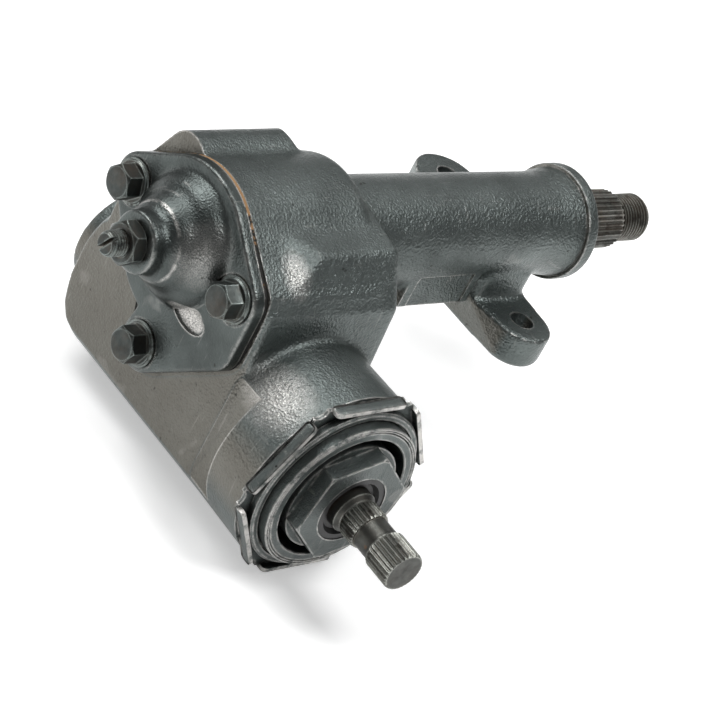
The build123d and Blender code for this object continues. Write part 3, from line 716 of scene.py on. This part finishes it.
def finishes():
    """The gearbox's finishes by name, made once."""
    colours = bpy.context.scene.gearbox_colours
    sizes = bpy.context.scene.gearbox_sizes
    rust = tuple(colours.rust)
    make = {
        "Housing Paint": lambda n: cast_paint(n, colours, sizes.grain_size, warm_side=True),
        "Cover Paint": lambda n: cast_paint(n, colours, 0.75 * sizes.grain_size, 0.9, 0.3, 0.35, 0.9, 0.7, 0.66),
        "Plug Paint": lambda n: cast_paint(n, colours, 0.6 * sizes.grain_size, 0.8, 0.36, 0.5, 0.9, 0.9, 0.85),
        "Fastener Steel": lambda n: tool_steel(n, colours.steel, rust),
        "Input Steel": lambda n: tool_steel(n, colours.shaft_steel, rust, rusty=0.15,
                                            marks={"Along_X": 0.0, "Along_Y": 1.0}),
        "Output Steel": lambda n: tool_steel(n, colours.shaft_steel, rust, rusty=0.6,
                                             marks={"Along_X": 1.0, "Along_Y": 0.0}),
        "Ground Steel": lambda n: tool_steel(n, colours.bare_metal, rust, 0.95, 0.25, 0.0),
        "Bush Bronze": lambda n: tool_steel(n, colours.bronze, rust, 0.9, 0.3, 0.1),
        "Gasket Paper": lambda n: gasket_paper(n, colours.gasket),
        "Seal Rubber": lambda n: seal_rubber(n, colours.rubber),
    }
    return {name: bpy.data.materials.get(name) or build(name) for name, build in make.items()}


SLOT_FINISH = {
    "cast_housing": "Housing Paint", "cast_cover": "Cover Paint", "gasket": "Gasket Paper",
    "fasteners": "Fastener Steel", "output_shaft": "Output Steel", "input_shaft": "Input Steel",
    "plug_casting": "Plug Paint", "sheet_steel": "Plug Paint", "bush": "Bush Bronze",
    "seal": "Seal Rubber", "inner_steel": "Ground Steel",
}


class GEARBOX_OT_node_finishes(Operator):
    """Give every CAD node its finish"""
    bl_idname = "gearbox.node_finishes"
    bl_label = "Node Finishes"

    def execute(self, context):
        made = finishes()
        for part in frame["record"]["subparts"]:
            node = frame["nodes"][part["node"]]
            for slot in node.material_slots:
                slot.material = made[SLOT_FINISH[part["material_slot"]]]
        return {"FINISHED"}


class GEARBOX_OT_housing(Operator):
    """Recast the housing: its form with blended hollows, its machined faces and its bores"""
    bl_idname = "gearbox.housing"
    bl_label = "Housing Casting"

    def execute(self, context):
        sizes = context.scene.gearbox_sizes
        core = self.bore_core()
        forms = [*self.case(), *self.barrel(), *self.tube(), *self.saddle()]
        housing = forms[0]
        housing.name = "housing_casting"
        join(housing, *forms[1:])
        cast_skin(housing, sizes.casting_voxel, sizes.blend_steps, sizes.soften_steps, sizes.casting_share)
        flange = prism("tube_flange", 0, 177.8, TUBE_FACE, ((0, 0, TUBE_FLANGE_RADIUS),), 0.6, 1.5, sides=160)
        combine(housing, flange, "UNION")
        for name, low, high in (("gasket_cut", (-60, -70, -90), (GASKET_FACE, 70, 60)),
                                ("neck_cut", (-60, -110, -110), (60, NECK_FACE, 0)),
                                ("web_cut", (85.3, -50, -60), (119, -21, -10))):
            combine(housing, block_between(name, low, high), "DIFFERENCE")
        combine(housing, core, "DIFFERENCE")
        finish_piece(housing, "gear_housing", finishes()["Housing Paint"], "housing", 32)
        return {"FINISHED"}

    def case(self):
        """The box round the sector, with its facet and the pad over the rear lug."""
        left = GASKET_FACE - 2
        crown = prism("case_crown", 0, left, 34, (*FLANGE_CROWN, (-46.2, 5.5, 5.3)), round_high=6)
        leg = prism("case_leg", 0, left, -5, FLANGE_LEG)
        side = prism("case_side", 0, FLAT_SIDE, 0, ((38.8, 0, 12.7), (-38.8, 0, 12.7), (-43, -69, 12),
                                                    (36, -67, 14)), round_low=2)
        front = prism("case_front", 0, FLAT_SIDE, 40, ((-15, 18.5, 8), (-36.8, 16.8, 6), (-46.5, -1, 8),
                                                       (-50, -50, 8), (44, -55, 6), (38.8, 0, 12.7)),
                      round_low=1.5, round_high=4)
        cut_beyond(front, (-11.3, -41, 18.9), (-0.32, -0.5, 0.8))
        pad = prism("case_pad", 0, left, 38, ((25.4, 22.4, 11.8), (37.8, -1, 10.7)))
        cut_beyond(pad, (16.5, 0, 34.2), (1, 0, 1.62))
        return crown, leg, side, front, pad

    def barrel(self):
        """The round housing of the worm, with its flat side, its neck and its rear boss."""
        barrel = prism("worm_barrel", 1, -62, 57, ((0, WORM_Z, BARREL_RADIUS),), round_high=15, sides=160)
        combine(barrel, block_between("flat_cut", (-90, -56, -110), (FLAT_SIDE, 80, 0)), "DIFFERENCE")
        neck = cone_between("worm_neck", BARREL_RADIUS, 45.2, (0, -60, WORM_Z), (0, NECK_FACE - 2, WORM_Z), 160)
        boss = prism("rear_boss", 1, 30, 68, ((0, WORM_Z, 27),), round_high=1.5)
        return barrel, neck, boss

    def tube(self):
        root = rod_between("tube_root", TUBE_RADIUS, (0, 0, 0), (45, 0, 0))
        long = cone_between("tube_length", TUBE_RADIUS, TUBE_WAIST, (44, 0, 0), (164, 0, 0))
        flare = cone_between("tube_flare", TUBE_WAIST, TUBE_RADIUS, (163.8, 0, 0), (177.8, 0, 0))
        end = rod_between("tube_mouth", TUBE_RADIUS, (177, 0, 0), (184, 0, 0))
        web = block_between("tube_web", (80, -21.6, -27), (124, 21.6, -10))
        return root, long, flare, end, web

    def saddle(self):
        """The two ears that bolt to the frame, and the block that joins them to the tube."""
        front = ((134.5, -14, 8), (154, -14, 8))
        rear = ((134.5, 16, 8), (186, 16, 12))
        forms = [prism("saddle_block", 2, -28, -12, (*front, (134.5, 16, 8), (165, 16, 8)))]
        for name, circles in (("front_ear", (*front, (145, -38.2, 14.8))), ("saddle_plate", (*front, *rear)),
                              ("rear_ear", (*rear, (183, 66.5, 16.6)))):
            plate = prism(name, 2, EAR_UNDERSIDE, EAR_TOP, circles, round_low=4, round_high=0.8)
            forms.append(cut_beyond(plate, (127, 0, EAR_TOP), (-1, 0, -0.3)))
        return forms

    def fillers(self, reach):
        """Rods that fill the bores, standing out of the machined faces by the given reach."""
        left = GASKET_FACE - reach
        rods = [
            rod_between("sector_filler", 33.0, (left, 0, 0), (17.2, 0, 0)),
            cut_beyond(rod_between("lower_filler", 38.4, (left, 0, 0), (17.2, 0, 0)), (0, 0, 5), (0, 0, 1)),
            rod_between("chamber_filler", CHAMBER_RADIUS, (0, -66, WORM_Z), (0, 51.8, WORM_Z)),
            rod_between("neck_filler", CHAMBER_RADIUS, (0, NECK_FACE - reach, WORM_Z), (0, -64, WORM_Z)),
            rod_between("bearing_filler", 22.0, (0, 50, WORM_Z), (0, 63.4, WORM_Z)),
            rod_between("tube_filler", 21.0, (15, 0, 0), (TUBE_FACE + reach, 0, 0)),
        ]
        for y, z in COVER_BOLTS:
            rods.append(rod_between("bolt_filler", 6.0, (left, y, z), (-22, y, z), 32))
        for x, y in EAR_HOLES:
            rods.append(rod_between("ear_filler", 8.0, (x, y, EAR_UNDERSIDE - reach), (x, y, EAR_TOP + reach), 48))
        return rods

    def bore_core(self):
        """The bores as one solid: what the fillers hold more than the CAD housing."""
        stretched = copy_node("housing", "stretched_housing")
        for axis, at, by in ((0, GASKET_FACE, -4), (1, NECK_FACE, -4), (0, TUBE_FACE, 4), (2, EAR_UNDERSIDE, -4),
                             (2, EAR_TOP, 4)):
            push_face(stretched, axis, at, by)
        rods = self.fillers(2.0)
        core = rods[0]
        for rod in rods[1:]:
            combine(core, rod, "UNION")
        combine(core, stretched, "DIFFERENCE")
        return core


class GEARBOX_OT_side_cover(Operator):
    """Recast the side cover: its dome and flange with soft shoulders, and its machined seats"""
    bl_idname = "gearbox.side_cover"
    bl_label = "Side Cover Casting"

    def execute(self, context):
        sizes = context.scene.gearbox_sizes
        rise = smooth_line([(COVER_FACE - height, radius) for radius, height in DOME_PROFILE])
        cover = lathe("side_cover_casting", 0, (0, 0, 0), [(-34, 0), (-34, 29.5), *rise,
                                                          (COVER_BOSS_FACE + 1, BOSS_RADIUS),
                                                          (COVER_BOSS_FACE, BOSS_RADIUS - 1), (COVER_BOSS_FACE, 0)])
        crown = prism("cover_crown", 0, COVER_FACE, -34, FLANGE_CROWN, round_low=1.6)
        leg = prism("cover_leg", 0, COVER_FACE, -34, FLANGE_LEG, round_low=1.6)
        join(cover, crown, leg)
        cast_skin(cover, sizes.cover_voxel, sizes.blend_steps, 2 * sizes.soften_steps, sizes.casting_share)
        self.dent(cover)
        combine(cover, block_between("seat_cut", (COVER_SEAT, -70, -80), (-25, 70, 60)), "DIFFERENCE")
        combine(cover, rod_between("bush_bore", 16.67, (-58.5, 0, 0), (-30, 0, 0)), "DIFFERENCE")
        combine(cover, rod_between("adjuster_bore", 5.6, (-75, 0, 0), (-50, 0, 0), 48), "DIFFERENCE")
        for y, z in COVER_BOLTS:
            combine(cover, rod_between("bolt_hole", 5.11, (-50, y, z), (-30, y, z), 48), "DIFFERENCE")
            combine(cover, rod_between("bolt_seat", 11.0, (-70, y, z), (COVER_FACE + 0.15, y, z)), "DIFFERENCE")
        finish_piece(cover, "gear_housing", finishes()["Cover Paint"], "side_cover")
        return {"FINISHED"}

    def dent(self, cover):
        """Presses the leaf-shaped hollow beside the dome."""
        deselect()
        bpy.ops.mesh.primitive_uv_sphere_add(segments=64, ring_count=32, radius=1, location=place(*DENT_CENTRE),
                                             scale=(0.0018, 0.0105, 0.0056))
        leaf = bpy.context.object
        bpy.ops.object.transform_apply()
        combine(cover, leaf, "DIFFERENCE")


class GEARBOX_OT_cover_bolts(Operator):
    """Set the three cover bolts, with washer flanges and chamfered six-sided heads"""
    bl_idname = "gearbox.cover_bolts"
    bl_label = "Cover Bolts"

    def execute(self, context):
        bolts = []
        for (y, z), turn in zip(COVER_BOLTS, BOLT_TURNS):
            head = hexagon("bolt_head", 14.29, 0, (-51.7, y, z), (-42.5, y, z), turn)
            dressed = lathe("head_turning", 0, (0, y, z), [(-51.7, 0), (-51.7, 6.75), (-50.4, 8.55), (-41, 8.55),
                                                          (-41, 0)])
            combine(head, dressed, "INTERSECT")
            flange = lathe("bolt_flange", 0, (0, y, z), [(-43.9, 0), (-43.8, 9.2), (-42.9, 9.5), (-42.9, 10.3),
                                                        (-42, 10.3), (-42, 4.76), (-25, 4.76), (-25, 0)])
            combine(head, flange, "UNION")
            bolts.append(head)
        join(bolts[0], *bolts[1:])
        bolts[0].name = "cover_bolt_set"
        break_edges(bolts[0], 0.25)
        finish_piece(bolts[0], "gear_housing", finishes()["Fastener Steel"], "cover_bolts", 30)
        return {"FINISHED"}


class GEARBOX_OT_lash_adjuster(Operator):
    """Set the threaded lash adjuster with its screwdriver slot, and its jam nut"""
    bl_idname = "gearbox.lash_adjuster"
    bl_label = "Lash Adjuster"

    def execute(self, context):
        steel = finishes()["Fastener Steel"]
        screw = copy_node("lash_adjuster_screw", "lash_adjuster_thread")
        combine(screw, block_between("old_end", (-90, -10, -10), (-70, 10, 10)), "DIFFERENCE")
        crests = thread_profile(-70, -82.6, ADJUSTER_CREST, ADJUSTER_ROOT, 1.27)
        end = lathe("adjuster_end", 0, (0, 0, 0), [(COVER_BOSS_FACE, 0), (COVER_BOSS_FACE, ADJUSTER_ROOT), *crests,
                                                   (-83.2, 5.2), (ADJUSTER_TIP, 4.5), (ADJUSTER_TIP, 0)])
        combine(screw, end, "UNION")
        slot = block_between("adjuster_slot", (-90, -9, -0.85), (-80.9, 9, 0.85))
        slot.data.transform(about_shaft(120))
        combine(screw, slot, "DIFFERENCE")
        finish_piece(screw, "gear_housing", steel, "lash_adjuster_screw", 30)
        nut = hexagon("jam_nut", 17.46, 0, (-76, 0, 0), (COVER_BOSS_FACE, 0, 0), 12)
        dressed = lathe("nut_turning", 0, (0, 0, 0), [(-76, 5.6), (-76, 8.3), (-74.6, 10.2), (-70.4, 10.2),
                                                      (COVER_BOSS_FACE, 8.6), (COVER_BOSS_FACE, 5.6)],
                        closed=True)
        combine(nut, dressed, "INTERSECT")
        break_edges(nut, 0.25)
        finish_piece(nut, "gear_housing", steel, "adjuster_jam_nut", 30)
        return {"FINISHED"}


class GEARBOX_OT_worm_end(Operator):
    """Fit the adjuster plug's rim, its lock ring and the tab plate at the input end"""
    bl_idname = "gearbox.worm_end"
    bl_label = "Worm End"

    def execute(self, context):
        made = finishes()
        axis = (0, 0, WORM_Z)
        plug = copy_node("adjuster_plug", "adjuster_plug_rim")
        rim = lathe("plug_rim", 1, axis, [(-93.3, 31.3), (-93.3, 35.4), (-103.6, 35.4), (PLUG_RIM_END, 35),
                                          (PLUG_RIM_END, 31.7), (-103.6, 31.3)], closed=True)
        combine(plug, rim, "UNION")
        break_edges(plug, 0.3)
        finish_piece(plug, "gear_housing", made["Plug Paint"], "adjuster_plug", 30)
        ring = lathe("lock_ring_collar", 1, axis, [
            (PLATE_FRONT, 35.44), (PLATE_FRONT, 41.2), (-95.4, 41.6), (-98.5, 41.6), (-99.5, 40.6), (-99.5, 38.5),
            (-97.5, 38.4), (-97.5, 37.5), (-103.6, 37.5), (PLUG_RIM_END, 37.1), (PLUG_RIM_END, 36.7),
            (-103.6, 36.45), (PLUG_RIM_END, 36.2), (PLUG_RIM_END, 35.8), (-103.6, 35.44)], closed=True, sides=160)
        finish_piece(ring, "gear_housing", made["Plug Paint"], "plug_lock_ring", 30)
        plate = hexagon("tab_plate_bent", 86, 1, (0, NECK_FACE, WORM_Z), (0, PLATE_FRONT, WORM_Z), 0)
        for k in range(6):
            tab = block_between("plate_tab", (-19, -99, WORM_Z + 42), (19, NECK_FACE, WORM_Z + 44))
            self.round_tab(tab)
            tab.data.transform(about_worm(60 * k))
            combine(plate, tab, "UNION")
        for k in range(6):
            notch = rod_between("plate_notch", 4.0, (49.8, -100, WORM_Z), (49.8, -90, WORM_Z), 48)
            notch.data.transform(about_worm(60 * k))
            combine(plate, notch, "DIFFERENCE")
        combine(plate, rod_between("plate_bore", 35.75, (0, -100, WORM_Z), (0, -90, WORM_Z), 128), "DIFFERENCE")
        plate.data.transform(about_worm(3.5))
        break_edges(plate, 0.25)
        finish_piece(plate, "gear_housing", made["Plug Paint"], "tab_plate", 30)
        return {"FINISHED"}

    def round_tab(self, tab):
        """Rounds the two outer corners of a tab."""
        outer = min(vertex.co.y for vertex in tab.data.vertices)
        for edge in tab.data.edges:
            ends = [tab.data.vertices[k].co for k in edge.vertices]
            edge.select = all(end.y < outer + 1e-6 for end in ends) and abs(ends[0].z - ends[1].z) > 1e-4
        activate(tab)
        bpy.ops.object.mode_set(mode="EDIT")
        bpy.ops.mesh.bevel(offset=0.002, segments=6)
        bpy.ops.object.mode_set(mode="OBJECT")


class GEARBOX_OT_output_thread(Operator):
    """Cut the thread on the output shaft's end"""
    bl_idname = "gearbox.output_thread"
    bl_label = "Output Thread"

    def execute(self, context):
        shaft = copy_node("pitman_shaft", "pitman_shaft_threaded")
        combine(shaft, block_between("old_end", (218, -30, -30), (260, 30, 30)), "DIFFERENCE")
        crests = thread_profile(219.2, 235.8, THREAD_CREST, THREAD_ROOT, 1.81)
        end = lathe("thread_end", 0, (0, 0, 0), [(217, 0), (217, THREAD_ROOT), *crests, (236.4, 10.4),
                                                 (SHAFT_END, 9.2), (SHAFT_END, 3), (236.6, 1.2), (236.6, 0)])
        combine(shaft, end, "UNION")
        finish_piece(shaft, "output_shaft", finishes()["Output Steel"], "pitman_shaft", 30)
        return {"FINISHED"}


class GEARBOX_OT_stage(Operator):
    """Set up the floor, the lights and the camera"""
    bl_idname = "gearbox.stage"
    bl_label = "Studio Stage"

    def execute(self, context):
        self.floor(context.scene.gearbox_colours.floor)
        self.world()
        for lamp in LAMPS:
            self.softbox(*lamp)
        self.camera(context.scene)
        return {"FINISHED"}

    def floor(self, colour):
        deselect()
        bpy.ops.mesh.primitive_plane_add(size=12, location=(0, 0, cad_box[0][2] - 0.0004))
        floor = bpy.context.object
        floor.name = "studio_floor"
        material, tree, shader = new_material("Studio Floor")
        tree.nodes.remove(shader)
        rays = put(tree, "ShaderNodeLightPath")
        seen = maths(tree, "MAXIMUM", rays.outputs["Is Camera Ray"], rays.outputs["Is Glossy Ray"])
        seen = maths(tree, "MAXIMUM", seen, rays.outputs["Is Transmission Ray"])
        glow = put(tree, "ShaderNodeEmission", {"Strength": maths(tree, "MULTIPLY", seen, FLOOR_GLOW)})
        body = put(tree, "ShaderNodeBsdfDiffuse", {"Color": (*colour, 1)})
        total = put(tree, "ShaderNodeAddShader", {0: body.outputs[0], 1: glow.outputs[0]})
        tree.links.new(total.outputs[0], tree.nodes["Material Output"].inputs[0])
        floor.data.materials.append(material)

    def world(self):
        world = bpy.data.worlds.new("Studio World")
        world.use_nodes = True
        bpy.context.scene.world = world
        back = world.node_tree.nodes["Background"]
        back.inputs["Color"].default_value = (1, 1, 1, 1)
        back.inputs["Strength"].default_value = SKY_STRENGTH

    def softbox(self, name, at, size, power):
        data = bpy.data.lights.new(name, "AREA")
        data.shape = "SQUARE"
        data.size = size
        data.energy = power
        lamp = bpy.data.objects.new(name, data)
        bpy.context.scene.collection.objects.link(lamp)
        lamp.location = at
        aim = Vector(LAMP_AIM) - Vector(at)
        lamp.rotation_euler = aim.to_track_quat("-Z", "Y").to_euler()

    def camera(self, scene):
        data = bpy.data.cameras.new("photo_camera")
        data.sensor_width = 36
        data.lens = CAMERA_LENS
        camera = bpy.data.objects.new("photo_camera", data)
        scene.collection.objects.link(camera)
        right = Vector(CAMERA_RIGHT).normalized()
        back = Vector(CAMERA_BACK).normalized()
        up = back.cross(right).normalized()
        right = up.cross(back)
        turn = Matrix((right, up, back)).transposed().to_4x4()
        camera.matrix_world = Matrix.Translation(CAMERA_PLACE) @ turn
        scene.camera = camera
        scene.view_settings.view_transform = "Standard"


class GEARBOX_PT_panel(Panel):
    """The gearbox's pieces and finishes"""
    bl_idname = "GEARBOX_PT_panel"
    bl_label = "Steering Gearbox"
    bl_space_type = "VIEW_3D"
    bl_region_type = "UI"
    bl_category = "Gearbox"

    def draw(self, context):
        for group in (context.scene.gearbox_sizes, context.scene.gearbox_colours):
            box = self.layout.box()
            for name in group.__annotations__:
                box.prop(group, name)
        for operator in OPERATORS:
            self.layout.operator(operator.bl_idname)


OPERATORS = (GEARBOX_OT_node_finishes, GEARBOX_OT_housing, GEARBOX_OT_side_cover, GEARBOX_OT_cover_bolts,
             GEARBOX_OT_lash_adjuster, GEARBOX_OT_worm_end, GEARBOX_OT_output_thread, GEARBOX_OT_stage)
CLASSES = (GearboxSizes, GearboxColours, *OPERATORS, GEARBOX_PT_panel)


def register():
    for item in CLASSES:
        bpy.utils.register_class(item)
    bpy.types.Scene.gearbox_sizes = PointerProperty(type=GearboxSizes)
    bpy.types.Scene.gearbox_colours = PointerProperty(type=GearboxColours)


def unregister():
    del bpy.types.Scene.gearbox_colours
    del bpy.types.Scene.gearbox_sizes
    for item in reversed(CLASSES):
        bpy.utils.unregister_class(item)


def main():
    register()
    bpy.ops.gearbox.node_finishes()
    bpy.ops.gearbox.housing()
    bpy.ops.gearbox.side_cover()
    bpy.ops.gearbox.cover_bolts()
    bpy.ops.gearbox.lash_adjuster()
    bpy.ops.gearbox.worm_end()
    bpy.ops.gearbox.output_thread()
    bpy.ops.gearbox.stage()


if __name__ == "__main__":
    main()
